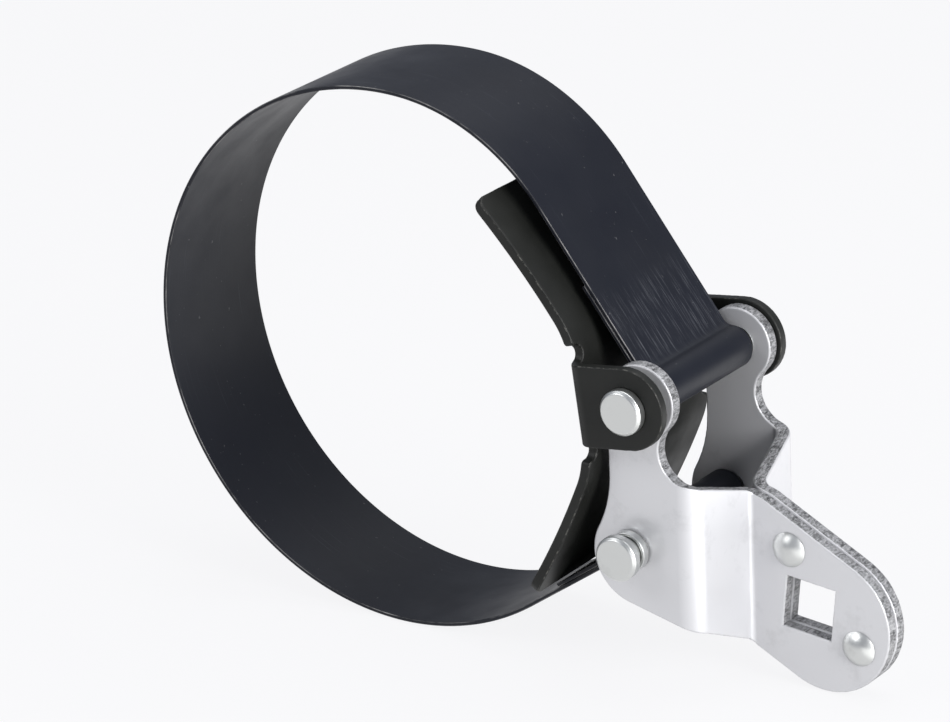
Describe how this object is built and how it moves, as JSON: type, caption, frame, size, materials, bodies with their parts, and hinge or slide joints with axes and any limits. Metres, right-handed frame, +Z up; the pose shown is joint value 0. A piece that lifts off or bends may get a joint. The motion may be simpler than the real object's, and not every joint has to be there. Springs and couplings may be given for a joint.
{
  "type": "band oil filter wrench",
  "caption": "Band oil filter wrench: a steel band loop pinned to a forked plate handle with a square drive hole, and a curved saddle that swings on the upper pin.",
  "frame": {"origin": "middle of the wrench's length and width, on the surface that it stands on", "axes": "+X towards the tip of the handle, +Y along the pins and the filter's axis, +Z up"},
  "size_m": [0.1948, 0.0638, 0.1352],
  "materials": {
    "blued_steel": "dark blued spring steel, satin, finely scratched along its length",
    "black_oxide": "satin black oxide on pressed sheet, worn at the edges",
    "zinc_plate": "bright zinc plating on sheared and folded sheet",
    "zinc_pin": "bright zinc plating on headed pins and rivets"
  },
  "bodies": {
    "handle": {"band": "blued_steel", "front_handle_plate": "zinc_plate", "rear_handle_plate": "zinc_plate", "upper_drive_rivet": "zinc_pin", "lower_drive_rivet": "zinc_pin"},
    "saddle": {"saddle": "black_oxide"},
    "upper_pin": {"upper_pin": "zinc_pin"},
    "lower_pin": {"lower_pin": "zinc_pin"},
    "front_washer": {"front_spacer_washer": "zinc_pin"},
    "rear_washer": {"rear_spacer_washer": "zinc_pin"}
  },
  "joints": [
    {"name": "saddle_swing", "type": "hinge", "parent": "handle", "child": "saddle", "pos_m": [0.04373, 0, 0.0721], "axis": [0, 1, 0], "range_deg": [0, 4.7]},
    {"name": "upper_pin_spin", "type": "hinge", "parent": "handle", "child": "upper_pin", "pos_m": [0.04373, 0, 0.0721], "axis": [0, 1, 0], "continuous": true},
    {"name": "lower_pin_spin", "type": "hinge", "parent": "handle", "child": "lower_pin", "pos_m": [0.04055, 0, 0.03504], "axis": [0, 1, 0], "continuous": true},
    {"name": "front_washer_slide", "type": "slide", "parent": "lower_pin", "child": "front_washer", "axis": [0, -1, 0], "range_m": [-0.0004, 0.0022]},
    {"name": "rear_washer_slide", "type": "slide", "parent": "lower_pin", "child": "rear_washer", "axis": [0, 1, 0], "range_m": [-0.0004, 0.0022]}
  ]
}
